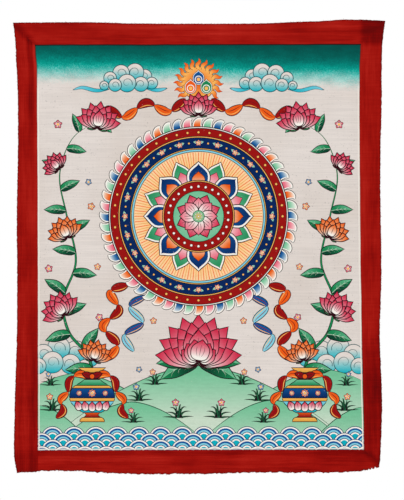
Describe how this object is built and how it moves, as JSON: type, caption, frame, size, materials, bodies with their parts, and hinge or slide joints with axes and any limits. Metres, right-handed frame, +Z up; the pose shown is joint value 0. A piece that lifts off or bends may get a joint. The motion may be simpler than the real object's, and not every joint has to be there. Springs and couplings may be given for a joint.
{
  "type": "unmounted thangka painting on cotton canvas",
  "caption": "Flat sheet of primed cotton canvas with a painted picture field and a broad painted border, hung by its top edge.",
  "frame": {"origin": "middle of the canvas's top edge, at half its thickness, where it is held", "axes": "+Z up, the painted face towards -Y, +X to the viewer's right"},
  "size_m": [0.4131, 0.0086, 0.5046],
  "materials": {
    "painted_canvas": "matt mineral paint on primed plain-weave cotton, unvarnished"
  },
  "bodies": {
    "root": {"canvas": "painted_canvas"}
  },
  "joints": []
}
